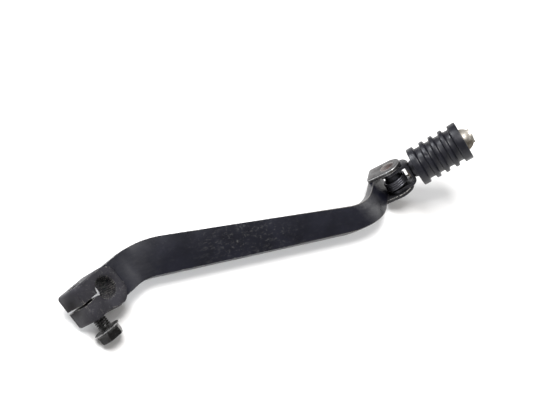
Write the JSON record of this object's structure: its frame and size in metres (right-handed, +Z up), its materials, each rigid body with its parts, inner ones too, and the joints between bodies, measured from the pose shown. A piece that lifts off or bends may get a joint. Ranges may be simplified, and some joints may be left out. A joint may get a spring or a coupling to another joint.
{
  "type": "gear shift lever",
  "caption": "Foot gear shift lever with a splined clamp hub, a twice-bent flat arm and a spring-loaded folding toe peg in ribbed rubber.",
  "frame": {"origin": "centre of the splined bore, half way through the hub", "axes": "+Z is straight up as the lever lies at rest on a bench, +X runs from the bore to the toe peg's pivot along the bench, +Y completes a right-handed set. The spline axis leans away from +Z."},
  "size_m": [0.2326, 0.0385, 0.0546],
  "materials": {
    "hub_paint": "worn satin black",
    "weld_paint": "painted weld bead",
    "bolt_zinc": "dark plated, worn edges",
    "arm_paint": "scratched satin black",
    "plate_upper_steel": "worn, paint gone",
    "plate_lower_paint": "worn black",
    "rivet_steel": "worn, slightly brown",
    "bush_steel": "dark oiled steel",
    "spring_steel": "dark spring steel",
    "bracket_steel": "dark, bright edges",
    "collar_steel": "dark steel",
    "stud_steel": "worn, olive-brown stains",
    "peg_rubber": "matt black rubber"
  },
  "bodies": {
    "lever": {"hub_clamp": "hub_paint", "hub_weld_bead": "weld_paint", "lever_arm": "arm_paint", "clevis_plate_upper": "plate_upper_steel", "clevis_plate_lower": "plate_lower_paint", "pivot_rivet": "rivet_steel", "pivot_bush": "bush_steel", "torsion_spring": "spring_steel"},
    "toe_peg": {"peg_bracket": "bracket_steel", "peg_collar": "collar_steel", "peg_stud": "stud_steel", "peg_rubber": "peg_rubber"},
    "bolt": {"pinch_bolt": "bolt_zinc"}
  },
  "joints": [
    {"name": "peg_fold", "type": "hinge", "parent": "lever", "child": "toe_peg", "pos_m": [0.17723, 0, 0.00486], "axis": [0.3941, -0.7022, -0.593], "range_deg": [0, 80], "stiffness_Nm_per_rad": 0.12, "springref_deg": -57.3, "deforming": ["torsion_spring"]},
    {"name": "bolt_travel", "type": "slide", "parent": "lever", "child": "bolt", "axis": [-0.32, 0.8139, 0.4849], "range_m": [-0.004, 0.0059]}
  ]
}
